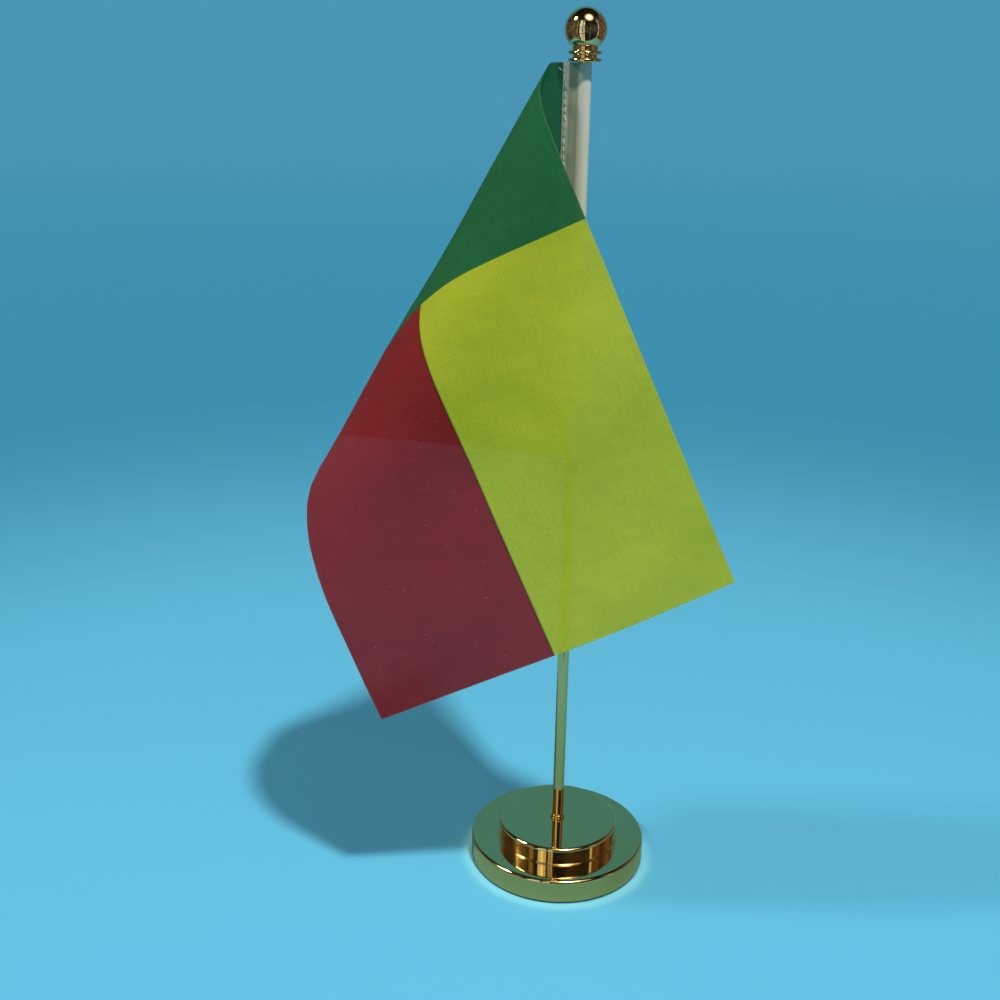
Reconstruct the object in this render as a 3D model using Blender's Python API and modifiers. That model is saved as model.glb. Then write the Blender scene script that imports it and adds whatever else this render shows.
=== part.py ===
"""Desk flag stand: a weighted two-tier round base, a screwed-on pole with a ball finial, and a folded satin flag.

Metres, +Z up.  The origin is the centre of the base's underside, and the pole's axis is the Z axis.
"""

import math

import bmesh
import bpy
import numpy as np

# ---------------------------------------------------------------- driving dimensions (metres)

SEAT_GAP = 0.0003        # between two pieces that rest on each other
THREAD_GAP = 0.0001      # radial play of a screw in its thread
PRESS_GAP = 0.00008      # radial gap at a pressed-in insert
SLIDE_GAP = 0.00015      # radial play of the pocket and the tie thread on the pole

PAD_INSET = 0.0012       # from the lower tier's side to the pad's edge
PAD_THICKNESS = 0.0010

LOWER_RADIUS = 0.0354
LOWER_TOP = 0.0101
LOWER_BOTTOM = 0.0007    # the lower shell's edge hangs clear of the table
UPPER_RADIUS = 0.0244
UPPER_HEIGHT = 0.0072
SHELL_WALL = 0.0008
RIM_RADIUS = 0.0012      # rounded upper edge of each tier
LIP_REACH = 0.00035      # the upper tier's lower edge flares out by this much
LIP_HEIGHT = 0.0003

BOLT_RADIUS = 0.00120    # M2.5 thread of 0.45 mm pitch, as a plain cylinder
BOLT_HEAD_RADIUS = 0.0025
BOLT_HEAD_HEIGHT = 0.0018
BOLT_SOCKET_RADIUS = 0.0012
BOLT_SOCKET_DEPTH = 0.0010
BOLT_HOLE_GAP = 0.0003   # radial clearance of the bolt in the tiers
COUNTERBORE_RADIUS = 0.0046
COUNTERBORE_DEPTH = 0.0046
WASHER_RADIUS = 0.0036
WASHER_THICKNESS = 0.0005
SPRING_WASHER_RADIUS = 0.0024
SPRING_WASHER_THICKNESS = 0.0007
SPRING_WASHER_SPLIT = 0.0005

FOOT_NUT_RADIUS = 0.0029
FOOT_NUT_HEIGHT = 0.0010
FOOT_NUT_ROUNDING = 0.0003

POLE_RADIUS = 0.00225
POLE_WALL = 0.0004
POLE_LENGTH = 0.2951     # from the foot nut to the underside of the finial's collar
ENGAGED_LENGTH = 0.0060  # screw thread inside an insert
INSERT_LENGTH = 0.0080

COLLAR_RADIUS = 0.00575
COLLAR_GROOVE_RADIUS = 0.0042
COLLAR_NECK_RADIUS = 0.0044
RIB_HEIGHT = 0.0012
GROOVE_HEIGHT = 0.0012
NECK_HEIGHT = 0.0014
COLLAR_RECESS_DEPTH = 0.0009
COLLAR_RECESS_GAP = 0.0013  # radial room around the pole inside the collar's underside
BALL_RADIUS = 0.00725
BALL_CENTRE = 0.01035    # above the collar's underside
STUD_IN_BALL = 0.0050
STUD_END_ROOM = 0.0002   # between the stud's end and the roof of the ball's hole

TIE_THREAD_RADIUS = 0.0002
RIBBON_THICKNESS = 0.0002
STITCH_RADIUS = 0.00015
STITCH_INSET = 0.0011    # from the ribbon's edge
STITCH_END = 0.0015      # from the ribbon's top and bottom
SEAM_REACH = 0.0073      # from the pole's axis to the ribbon's edge
SEAM_COVER = 0.0020      # cloth that lies inside the ribbon

HOIST = 0.140            # flag's height along the pole
FLY = 0.205              # flag's length beyond the ribbon's edge
CLOTH_THICKNESS = 0.0003
CLOTH_GAP = 0.00015      # between the cloth and each layer of the ribbon

# The cloth hangs as one cone, so it bends without stretching: every line of the fold runs to the cone's apex.
# Angles are those of the flat cloth seen from the apex.
SEAM_TURN = 0.202        # radians by which the cloth leaves the pole backwards from -X
APEX_BACK = 0.0586       # apex, along the fly, on the pole's side of the ribbon's edge
APEX_UP = 0.1111         # apex, above the hoist's top corner
CREASE_SPREAD = 0.055    # the crease starts at the line through the hoist's top corner
CREASE_TURN = 1.80       # radians of bend in the crease
SAG_SPREAD = 0.280       # the wide bend that follows it
SAG_TURN = 1.40
FRONT_CURL = 1.5         # growing bend of the front layer, per radian

BACK_RULINGS = 3
CREASE_RULINGS = 10
SAG_RULINGS = 18
FRONT_RULINGS = 6
RULING_STEPS = 4

BASE_SEGMENTS = 56
SMALL_SEGMENTS = 24
BALL_SEGMENTS = 32

# ---------------------------------------------------------------- heights that follow from them

UPPER_BOTTOM = LOWER_TOP + SEAT_GAP
UPPER_TOP = LOWER_TOP + UPPER_HEIGHT
NUT_BOTTOM = UPPER_TOP + SEAT_GAP
NUT_TOP = NUT_BOTTOM + FOOT_NUT_HEIGHT
POLE_FOOT = NUT_TOP + SEAT_GAP
COLLAR_BOTTOM = POLE_FOOT + POLE_LENGTH
POLE_TOP = COLLAR_BOTTOM + COLLAR_RECESS_DEPTH - SEAT_GAP
COLLAR_HEIGHT = 2 * RIB_HEIGHT + GROOVE_HEIGHT + NECK_HEIGHT
POCKET_TOP = COLLAR_BOTTOM - SEAT_GAP
BALLAST_BOTTOM = PAD_THICKNESS + SEAT_GAP
BALLAST_TOP = LOWER_TOP - SHELL_WALL - SEAT_GAP
COUNTERBORE_ROOF = BALLAST_BOTTOM + COUNTERBORE_DEPTH
WASHER_BOTTOM = COUNTERBORE_ROOF - SEAT_GAP - WASHER_THICKNESS
SPRING_BOTTOM = WASHER_BOTTOM - SEAT_GAP - SPRING_WASHER_THICKNESS
HEAD_TOP = SPRING_BOTTOM - SEAT_GAP
BOLT_HOLE_RADIUS = BOLT_RADIUS + BOLT_HOLE_GAP
PAD_RADIUS = LOWER_RADIUS - PAD_INSET
INSERT_RADIUS = POLE_RADIUS - POLE_WALL - PRESS_GAP
THREAD_RADIUS = BOLT_RADIUS + THREAD_GAP
WRAP_RADIUS = POLE_RADIUS + SLIDE_GAP + RIBBON_THICKNESS / 2
CREASE_START = math.atan2(APEX_BACK, APEX_UP)
BEND_STEP = 0.004        # radians between the steps that follow the bend
LAYER_OFFSET = (CLOTH_THICKNESS + RIBBON_THICKNESS) / 2 + CLOTH_GAP


# ---------------------------------------------------------------- scene and materials

def clear_scene():
    for old in list(bpy.data.objects):
        bpy.data.objects.remove(old, do_unlink=True)


def new_collection(name):
    made = bpy.data.collections.new(name)
    bpy.context.scene.collection.children.link(made)
    return made


def new_material(name, colour, metallic, roughness):
    made = bpy.data.materials.new(name)
    made.use_nodes = True
    shader = made.node_tree.nodes["Principled BSDF"]
    shader.inputs["Base Color"].default_value = (*colour, 1.0)
    shader.inputs["Metallic"].default_value = metallic
    shader.inputs["Roughness"].default_value = roughness
    made.diffuse_color = (*colour, 1.0)
    return made


def new_empty(name, parent=None):
    empty = bpy.data.objects.new(name, None)
    parts.objects.link(empty)
    empty.parent = parent
    return empty


def place(name, data, material, parent):
    """Name the piece, give it its material and hang it on its body's empty."""
    piece = bpy.data.objects.new(name, data)
    parts.objects.link(piece)
    data.materials.append(material)
    piece.parent = parent
    return piece


# ---------------------------------------------------------------- shapes

def corner(radius_out, height, fillet, steps=4):
    """Points of a rounded upper outer edge, from the flat top round to the side."""
    points = []
    for step in range(steps + 1):
        angle = math.radians(90 - 90 * step / steps)
        points.append((radius_out - fillet + fillet * math.cos(angle),
                       height - fillet + fillet * math.sin(angle)))
    return points


def turned(name, profile, material, parent, segments=SMALL_SEGMENTS):
    """Turn a profile of (radius, height) points about Z. It runs down the outer side; a ring's profile closes."""
    on_axis = profile[0][0] == 0
    count = len(profile)
    edges = [(index, (index + 1) % count) for index in range(count - on_axis)]
    mesh = bpy.data.meshes.new(name)
    mesh.from_pydata([(radius, 0.0, height) for radius, height in profile], edges, [])
    piece = place(name, mesh, material, parent)
    screw = piece.modifiers.new("Turn", "SCREW")
    screw.axis = "Z"
    screw.steps = segments
    screw.render_steps = segments
    screw.use_merge_vertices = True
    screw.merge_threshold = 0.00001
    screw.use_smooth_shade = True
    return piece


def ring_profile(inner, outer, bottom, top, fillet=0.0):
    rim = corner(outer, top, fillet) if fillet else [(outer, top)]
    return [(inner, top), *rim, (outer, bottom), (inner, bottom)]


def tier_profile(radius, bottom, top, foot):
    """A pressed shell: a flat top with a bolt hole, a rounded edge and a straight skirt that ends in the foot."""
    inside = radius - SHELL_WALL
    return [(BOLT_HOLE_RADIUS, top), *corner(radius, top, RIM_RADIUS), *foot,
            (inside, bottom), (inside, top - SHELL_WALL), (BOLT_HOLE_RADIUS, top - SHELL_WALL)]


def flared_foot(radius, bottom):
    """The skirt's lower edge, curling outwards into a lip."""
    middle = bottom + LIP_HEIGHT + LIP_REACH
    points = []
    for angle in (180, 210, 240, 270):
        turn = math.radians(angle)
        points.append((radius + LIP_REACH + LIP_REACH * math.cos(turn), middle + LIP_REACH * math.sin(turn)))
    return [*points, (radius + LIP_REACH, bottom)]


def rod(name, start, end, radius, material, parent):
    """A straight round thread between two points."""
    curve = bpy.data.curves.new(name, "CURVE")
    curve.dimensions = "3D"
    curve.bevel_depth = radius
    curve.bevel_resolution = 1
    curve.use_fill_caps = True
    line = curve.splines.new("POLY")
    line.points.add(1)
    for point, place_at in zip(line.points, (start, end)):
        point.co = (*place_at, 1.0)
    return place(name, curve, material, parent)


def solidify(piece, thickness):
    """Give an open surface its thickness, half to each side."""
    shell = piece.modifiers.new("Thickness", "SOLIDIFY")
    shell.thickness = thickness
    shell.offset = 0.0
    shell.use_rim = True
    shell.use_even_offset = True


# ---------------------------------------------------------------- base

def build_base(base):
    turned("base_pad", [(0, PAD_THICKNESS), (PAD_RADIUS, PAD_THICKNESS), (PAD_RADIUS, 0), (0, 0)],
           foam, base, BASE_SEGMENTS)

    ballast_radius = LOWER_RADIUS - SHELL_WALL - SEAT_GAP
    turned("ballast_disc",
           [(BOLT_HOLE_RADIUS, BALLAST_TOP), (ballast_radius, BALLAST_TOP), (ballast_radius, BALLAST_BOTTOM),
            (COUNTERBORE_RADIUS, BALLAST_BOTTOM), (COUNTERBORE_RADIUS, COUNTERBORE_ROOF),
            (BOLT_HOLE_RADIUS, COUNTERBORE_ROOF)],
           iron, base, BASE_SEGMENTS)

    lower_foot = [(LOWER_RADIUS, LOWER_BOTTOM)]
    turned("lower_tier_shell", tier_profile(LOWER_RADIUS, LOWER_BOTTOM, LOWER_TOP, lower_foot), plated, base,
           BASE_SEGMENTS)

    filler_top = UPPER_TOP - SHELL_WALL - SEAT_GAP
    filler_radius = UPPER_RADIUS - SHELL_WALL - SEAT_GAP
    turned("upper_tier_filler", ring_profile(BOLT_HOLE_RADIUS, filler_radius, UPPER_BOTTOM, filler_top),
           iron, base, BASE_SEGMENTS)

    upper_foot = flared_foot(UPPER_RADIUS, UPPER_BOTTOM)
    turned("upper_tier_shell", tier_profile(UPPER_RADIUS, UPPER_BOTTOM, UPPER_TOP, upper_foot), plated, base,
           BASE_SEGMENTS)

    turned("foot_nut", ring_profile(THREAD_RADIUS, FOOT_NUT_RADIUS, NUT_BOTTOM, NUT_TOP, FOOT_NUT_ROUNDING),
           plated, base)


def build_fastening(base):
    head_bottom = HEAD_TOP - BOLT_HEAD_HEIGHT
    turned("centre_bolt",
           [(0, POLE_FOOT + ENGAGED_LENGTH), (BOLT_RADIUS, POLE_FOOT + ENGAGED_LENGTH), (BOLT_RADIUS, HEAD_TOP),
            (BOLT_HEAD_RADIUS, HEAD_TOP), (BOLT_HEAD_RADIUS, head_bottom), (BOLT_SOCKET_RADIUS, head_bottom),
            (BOLT_SOCKET_RADIUS, head_bottom + BOLT_SOCKET_DEPTH), (0, head_bottom + BOLT_SOCKET_DEPTH)],
           steel, base)

    turned("flat_washer",
           ring_profile(BOLT_HOLE_RADIUS, WASHER_RADIUS, WASHER_BOTTOM, WASHER_BOTTOM + WASHER_THICKNESS),
           steel, base)

    spring_top = SPRING_BOTTOM + SPRING_WASHER_THICKNESS
    spring_washer = turned("spring_washer",
                           ring_profile(BOLT_HOLE_RADIUS, SPRING_WASHER_RADIUS, SPRING_BOTTOM, spring_top),
                           steel, base)
    cut_split(spring_washer, SPRING_BOTTOM + SPRING_WASHER_THICKNESS / 2)


def cut_split(washer, height):
    """Cut the spring washer through on one side."""
    mesh = bpy.data.meshes.new("washer_split")
    box = bmesh.new()
    bmesh.ops.create_cube(box, size=1.0)
    reach = SPRING_WASHER_RADIUS * 2
    bmesh.ops.scale(box, vec=(reach, SPRING_WASHER_SPLIT, SPRING_WASHER_THICKNESS * 3), verts=box.verts)
    bmesh.ops.translate(box, vec=(reach / 2, 0, height), verts=box.verts)
    box.to_mesh(mesh)
    box.free()
    cutter = bpy.data.objects.new("washer_split", mesh)
    cutters.objects.link(cutter)
    cutter.hide_render = True
    cutter.display_type = "WIRE"
    cut = washer.modifiers.new("Split", "BOOLEAN")
    cut.operation = "DIFFERENCE"
    cut.solver = "EXACT"
    cut.object = cutter


# ---------------------------------------------------------------- pole and finial

def insert_profile(bottom, top):
    return ring_profile(THREAD_RADIUS, INSERT_RADIUS, bottom, top)


def build_pole(lift, pole):
    turned("foot_insert", insert_profile(POLE_FOOT, POLE_FOOT + INSERT_LENGTH), brass, lift)
    turned("pole_tube", ring_profile(POLE_RADIUS - POLE_WALL, POLE_RADIUS, POLE_FOOT, POLE_TOP), plated, pole)
    turned("top_insert", insert_profile(POLE_TOP - INSERT_LENGTH, POLE_TOP), brass, pole)


def build_finial(lift, finial):
    ball_height = COLLAR_BOTTOM + BALL_CENTRE
    stud_top = COLLAR_BOTTOM + COLLAR_HEIGHT + SEAT_GAP + STUD_IN_BALL
    turned("finial_stud",
           [(0, stud_top), (BOLT_RADIUS, stud_top), (BOLT_RADIUS, POLE_TOP - ENGAGED_LENGTH),
            (0, POLE_TOP - ENGAGED_LENGTH)],
           steel, lift)

    recess_radius = POLE_RADIUS + COLLAR_RECESS_GAP
    recess_roof = COLLAR_BOTTOM + COLLAR_RECESS_DEPTH
    groove_bottom = COLLAR_BOTTOM + RIB_HEIGHT
    groove_top = groove_bottom + GROOVE_HEIGHT
    upper_rib_top = groove_top + RIB_HEIGHT
    neck_top = upper_rib_top + NECK_HEIGHT
    turned("finial_collar",
           [(THREAD_RADIUS, neck_top), (COLLAR_NECK_RADIUS, neck_top), (COLLAR_NECK_RADIUS, upper_rib_top),
            *rib(upper_rib_top), (COLLAR_GROOVE_RADIUS, groove_top), (COLLAR_GROOVE_RADIUS, groove_bottom),
            *rib(groove_bottom), (recess_radius, COLLAR_BOTTOM), (recess_radius, recess_roof),
            (THREAD_RADIUS, recess_roof)],
           plated, finial, BALL_SEGMENTS)

    # The ball has a flat seat on the neck and a blind threaded hole.
    seat = neck_top + SEAT_GAP
    seat_angle = math.asin((ball_height - seat) / BALL_RADIUS)
    outline = [(0, ball_height + BALL_RADIUS)]
    rings = 14
    for ring in range(1, rings + 1):
        angle = math.pi / 2 - (math.pi / 2 + seat_angle) * ring / rings
        outline.append((BALL_RADIUS * math.cos(angle), ball_height + BALL_RADIUS * math.sin(angle)))
    hole_roof = seat + STUD_IN_BALL + STUD_END_ROOM
    outline += [(THREAD_RADIUS, seat), (THREAD_RADIUS, hole_roof), (0, hole_roof)]
    turned("finial_ball", outline, plated, finial, BALL_SEGMENTS)


def rib(top):
    """The rounded outer edge of one of the collar's ribs, downwards from its upper face."""
    middle = top - RIB_HEIGHT / 2
    bulge = RIB_HEIGHT / 2
    points = []
    for step in range(5):
        angle = math.radians(90 - 45 * step)
        points.append((COLLAR_RADIUS - bulge + bulge * math.cos(angle), middle + bulge * math.sin(angle)))
    return points


# ---------------------------------------------------------------- flag

def along_seam(reach, side):
    """A point at a distance from the pole's axis towards the cloth, and to one side of it, in the XY plane."""
    return (-reach * math.cos(SEAM_TURN) - side * math.sin(SEAM_TURN),
            reach * math.sin(SEAM_TURN) - side * math.cos(SEAM_TURN))


def pocket_path():
    """The ribbon's middle line seen from above: front edge, once round the pole, back edge."""
    distance = math.hypot(SEAM_REACH, LAYER_OFFSET)
    start = math.pi - math.atan2(LAYER_OFFSET, SEAM_REACH) - math.acos(WRAP_RADIUS / distance)
    wrap = []
    steps = 20
    for step in range(steps + 1):
        angle = start - 2 * start * step / steps
        wrap.append((WRAP_RADIUS * math.cos(angle), WRAP_RADIUS * math.sin(angle)))
    # Towards the cloth is -X here, and the front layer is the one with positive side.
    path = [(-SEAM_REACH, LAYER_OFFSET), *wrap, (-SEAM_REACH, -LAYER_OFFSET)]
    return [along_seam(-x, side) for x, side in path]


def build_pocket(flag):
    path = pocket_path()
    vertices = []
    for height in (POCKET_TOP - HOIST, POCKET_TOP):
        vertices += [(x, y, height) for x, y in path]
    count = len(path)
    faces = [(index, index + 1, count + index + 1, count + index) for index in range(count - 1)]
    mesh = bpy.data.meshes.new("pocket")
    mesh.from_pydata(vertices, [], faces)
    mesh.shade_smooth()
    mesh.set_sharp_from_angle(angle=math.radians(40))
    solidify(place("pocket", mesh, satin, flag), RIBBON_THICKNESS)

    # The two threads of the seam lie on the ribbon's two faces, just inside its edge.
    slope = math.asin((WRAP_RADIUS - LAYER_OFFSET) / SEAM_REACH)
    proud = RIBBON_THICKNESS / 2 + CLOTH_GAP + STITCH_RADIUS
    side = LAYER_OFFSET + STITCH_INSET * math.tan(slope) + proud / math.cos(slope)
    for name, sign in (("needle_thread", 1), ("bobbin_thread", -1)):
        x, y = along_seam(SEAM_REACH - STITCH_INSET, sign * side)
        rod(name, (x, y, POCKET_TOP - HOIST + STITCH_END), (x, y, POCKET_TOP - STITCH_END), STITCH_RADIUS,
            thread, flag)


def build_tie(tie):
    """A loop of thread round the pole, tied above the pocket, inside the collar's recess."""
    middle = POLE_RADIUS + SLIDE_GAP + TIE_THREAD_RADIUS
    height = COLLAR_BOTTOM + TIE_THREAD_RADIUS
    loop = []
    sides = 8
    for side in range(sides):
        angle = math.pi / 2 - 2 * math.pi * side / sides
        loop.append((middle + TIE_THREAD_RADIUS * math.cos(angle), height + TIE_THREAD_RADIUS * math.sin(angle)))
    turned("tie_thread", loop, thread, tie)


def raised_cosine(position):
    """A smooth bump from 0 to 1, whose area over that stretch is 1."""
    return 1 - math.cos(2 * math.pi * min(max(position, 0.0), 1.0))


def bend(angle):
    """Sideways bend of the cloth, per radian, at a line that makes this angle with the crease's first line."""
    front = max(angle - CREASE_SPREAD - SAG_SPREAD / 2, 0.0)
    return (CREASE_TURN / CREASE_SPREAD * raised_cosine(angle / CREASE_SPREAD)
            + SAG_TURN / SAG_SPREAD * raised_cosine((angle - CREASE_SPREAD / 2) / SAG_SPREAD)
            + FRONT_CURL * front)


def cone_directions(angles):
    """Unit vectors from the apex along the cloth's lines, one for each flat angle, counted from straight down."""
    down = np.array((0.0, 0.0, -1.0))
    away = np.array((*along_seam(1.0, 0), 0.0))
    frame = np.array((down, away, np.cross(down, away)))
    angle = 0.0
    found = []
    for wanted in angles:
        while angle < wanted:
            step = min(BEND_STEP, wanted - angle)
            past_crease = angle + step / 2 - CREASE_START
            curve = -bend(past_crease) if past_crease > 0 else 0.0
            spin = math.hypot(1.0, curve)
            axis = (curve * frame[0] + frame[2]) / spin
            turn = spin * step
            frame = (frame * math.cos(turn) + np.cross(axis, frame) * math.sin(turn)
                     + np.outer(frame @ axis, axis) * (1 - math.cos(turn)))
            angle += step
        found.append(frame[0].copy())
    return found


def ruling_ends(angle):
    """Where a line from the apex enters and leaves the flat cloth, as distances from the apex."""
    back = APEX_BACK - SEAM_COVER
    across, down = math.sin(angle), math.cos(angle)
    enter = max(back / across, APEX_UP / down)
    leave = min((APEX_BACK + FLY) / across, (APEX_UP + HOIST) / down)
    return enter, leave


def ruling_angles():
    """The lines that the cloth is built on: close together where it bends, and one through each corner."""
    back = APEX_BACK - SEAM_COVER
    fly = APEX_BACK + FLY
    lowest = math.atan2(back, APEX_UP + HOIST)
    highest = math.atan2(fly, APEX_UP)
    sag_start = CREASE_START + CREASE_SPREAD
    front_start = sag_start + SAG_SPREAD - CREASE_SPREAD / 2
    angles = [math.atan2(back, APEX_UP), math.atan2(fly, APEX_UP + HOIST), highest]
    for start, end, count in ((lowest, CREASE_START, BACK_RULINGS), (CREASE_START, sag_start, CREASE_RULINGS),
                              (sag_start, front_start, SAG_RULINGS), (front_start, highest, FRONT_RULINGS)):
        angles += [start + (end - start) * index / count for index in range(count)]
    return sorted(angle for angle in set(angles) if lowest <= angle <= highest)


def build_cloth(flag):
    angles = ruling_angles()
    seam = np.array((*along_seam(SEAM_REACH, 0), POCKET_TOP))
    away = np.array((*along_seam(1.0, 0), 0.0))
    apex = seam - APEX_BACK * away + np.array((0.0, 0.0, APEX_UP))

    cloth = bmesh.new()
    lines = []
    for angle, direction in zip(angles, cone_directions(angles)):
        enter, leave = ruling_ends(angle)
        distances = [enter + (leave - enter) * step / RULING_STEPS for step in range(RULING_STEPS + 1)]
        lines.append([cloth.verts.new(apex + direction * distance) for distance in distances])
    for line, following in zip(lines, lines[1:]):
        for step in range(RULING_STEPS):
            cloth.faces.new((line[step], line[step + 1], following[step + 1], following[step]))
    bmesh.ops.remove_doubles(cloth, verts=cloth.verts, dist=0.00002)
    mesh = bpy.data.meshes.new("flag_cloth")
    cloth.to_mesh(mesh)
    cloth.free()
    mesh.shade_smooth()
    solidify(place("flag_cloth", mesh, printed_satin, flag), CLOTH_THICKNESS)


# ---------------------------------------------------------------- assembly

clear_scene()
parts = new_collection("desk_flag_stand")
cutters = new_collection("cutters")

plated = new_material("gold_plating", (0.83, 0.68, 0.36), 1.0, 0.08)
steel = new_material("steel", (0.56, 0.57, 0.58), 1.0, 0.35)
iron = new_material("cast_iron", (0.14, 0.14, 0.14), 0.8, 0.6)
brass = new_material("brass", (0.76, 0.60, 0.30), 1.0, 0.3)
foam = new_material("pad_foam", (0.02, 0.02, 0.02), 0.0, 0.9)
satin = new_material("cream_satin", (0.55, 0.54, 0.46), 0.0, 0.5)
thread = new_material("white_thread", (0.62, 0.66, 0.58), 0.0, 0.7)
printed_satin = new_material("green_satin", (0.018, 0.105, 0.041), 0.0, 0.45)

base_body = new_empty("base_body")
pole_lift_body = new_empty("pole_lift_body", base_body)
pole_body = new_empty("pole_body", pole_lift_body)
finial_lift_body = new_empty("finial_lift_body", pole_body)
finial_body = new_empty("finial_body", finial_lift_body)
tie_body = new_empty("tie_body", pole_body)
flag_body = new_empty("flag_body", tie_body)

build_base(base_body)
build_fastening(base_body)
build_pole(pole_lift_body, pole_body)
build_finial(finial_lift_body, finial_body)
build_tie(tie_body)
build_pocket(flag_body)
build_cloth(flag_body)
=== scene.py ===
"""Looks of the desk flag stand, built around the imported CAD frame. Metres, +Z up."""

import math

import bmesh
import bpy
import numpy as np
from mathutils import Matrix, Vector, noise


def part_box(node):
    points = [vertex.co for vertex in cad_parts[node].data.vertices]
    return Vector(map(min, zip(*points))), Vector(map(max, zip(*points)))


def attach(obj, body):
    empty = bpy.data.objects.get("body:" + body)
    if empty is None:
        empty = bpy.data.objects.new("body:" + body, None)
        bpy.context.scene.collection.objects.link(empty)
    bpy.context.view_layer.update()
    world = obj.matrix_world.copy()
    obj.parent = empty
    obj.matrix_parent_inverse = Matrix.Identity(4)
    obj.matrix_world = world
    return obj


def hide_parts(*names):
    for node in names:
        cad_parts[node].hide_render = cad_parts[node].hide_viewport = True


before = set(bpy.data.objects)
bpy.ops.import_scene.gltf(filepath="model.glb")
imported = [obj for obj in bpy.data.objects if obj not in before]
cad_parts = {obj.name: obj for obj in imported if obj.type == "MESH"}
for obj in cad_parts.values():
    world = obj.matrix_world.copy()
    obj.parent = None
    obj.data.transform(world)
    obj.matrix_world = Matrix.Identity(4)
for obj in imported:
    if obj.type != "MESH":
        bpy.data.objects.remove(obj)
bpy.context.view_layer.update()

# ---------------------------------------------------------------- sizes (metres)

RIM_RADIUS = 0.0012          # polished rounding of a tier's edge
LIP_REACH = 0.00035          # the upper tier's foot flares out by this much
LIP_HEIGHT = 0.00030
LIP_FILLET = 0.00014
TURNED_EDGE = 0.0002         # rounding of a turned piece's sharp edges
SHELL_WALL = 0.0008
BOLT_HOLE = 0.0015           # radius, in the tiers and the foot ring
PAD_EDGE = 0.0003
POLE_WALL = 0.0004
POLE_EDGE = 0.00015

RIB_HEIGHT = 0.0012          # the collar's two ribs and the groove between them
GROOVE_HEIGHT = 0.0012
GROOVE_RADIUS = 0.0042
NECK_RADIUS = 0.0044
NECK_EDGE = 0.0004
COLLAR_FILLET = 0.00025
COLLAR_HOLE = 0.0014
COLLAR_RECESS_RADIUS = 0.00355
COLLAR_RECESS_DEPTH = 0.0009
BALL_HOLE = 0.0013
BALL_HOLE_DEPTH = 0.0052

CONTACT = 0.00025            # a visible piece reaches this far into the CAD's seating gap of 0.3 mm
HOLD_DISTANCE = 0.00006      # from a line's end to the point that keeps the line's shading flat
TURNED_STEPS = 192
BALL_STEPS = 128
SMALL_STEPS = 96

CLOTH_STEP = 0.0011          # mesh size of the flag
SEAM_COVER = 0.0020          # cloth inside the ribbon
GREEN_WIDTH = 0.0668         # green band, from the ribbon's edge
HALF_HOIST = 0.070           # the yellow band above, the red one below

# The cone that the cloth bends on, as in the CAD model: angles are in the flat cloth, seen from the apex.
SEAM_TURN = 0.202
APEX_BACK = 0.0586
APEX_UP = 0.1111
CREASE_SPREAD = 0.055
CREASE_TURN = 1.80
SAG_SPREAD = 0.280
SAG_TURN = 1.40
FRONT_CURL = 1.5
BEND_STEP = 0.002

BELLY_RISE = 0.0031          # the hem bulges out where it turns the fold
BELLY_ALONG = 0.113
BELLY_WIDTH = 0.020
BELLY_HEIGHT = 0.035

CREASE_RISE = 0.00022        # small creases over the cloth's slack waves
CREASE_DENSITY = 70.0        # per metre
FREE_FROM_SEAM = 0.05        # the waves are at full height from here on

# Slack waves of the cloth: height, turns per metre along the fly and down the hoist, and start in radians.
CLOTH_WAVES = ((0.0006, 9.0, 5.0, 0.7), (0.0004, 17.0, -11.0, 2.1))

SEAM_REACH = 0.0073          # from the pole's axis to the ribbon's edge
SHADE_FADE_INSET = 0.0018      # this far from its edge, the ribbon's painted shade fades out
RIBBON_HALF_GAP = 0.0004     # from the cloth's middle to a ribbon layer's middle
RIBBON_OFF_POLE = 0.00022
RIBBON_SPREAD = 0.33         # the stitches rise this share of their inset, as the layers part to the pole
RIBBON_SAG = 0.00055         # the ribbon falls in between the pole and the seam
SLACK_REACH = 0.0025         # from the pole or the edge to where it sags by that much

# Uneven sag of the ribbon: height, and radians per metre up the pole and across it.
RIBBON_WAVES = ((0.00012, 310.0, 500.0), (0.00008, 790.0, 0.0))

STITCH_PITCH = 0.0026
STITCH_RADIUS = 0.00016
STITCH_INSET = 0.0011        # from the ribbon's edge
STITCH_END = 0.0015          # from the ribbon's top and bottom
STITCH_LIFT = 0.00028
STITCH_WANDER = 0.00008
TIE_RADIUS = 0.00016
TIE_WANDER = 0.00003
THREAD_END_RADIUS = 0.00011
THREAD_END_LENGTH = 0.0018
THREAD_END_RISE = 0.0011
THREAD_END_DROP = 0.0030     # from the pocket's top to the thread end's foot
THREAD_END_INSET = 0.0004    # from the ribbon's edge
THREAD_END_SIDE = 0.0007
THREAD_END_BOW = 0.0003


def node_size(node):
    """A turned node's radius, lowest and highest height."""
    low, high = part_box(node)
    return (high[0] - low[0]) / 2, low[2], high[2]


pocket_low, pocket_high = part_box("pocket")
POCKET_TOP = pocket_high[2]
HOIST = POCKET_TOP - pocket_low[2]
FLY = 0.205                  # beyond the ribbon's edge
POLE_RADIUS = node_size("pole_tube")[0]
BASE_RADIUS = node_size("lower_tier_shell")[0]
CREASE_START = math.atan2(APEX_BACK, APEX_UP)

# ---------------------------------------------------------------- camera

CAMERA_DISTANCE = 0.4672
CAMERA_HEIGHT = 0.3229
CAMERA_PITCH = math.radians(19.70)
CAMERA_YAW = math.radians(3.21)
CAMERA_ROLL = math.radians(0.99)
CAMERA_LENS = 47.01


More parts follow.
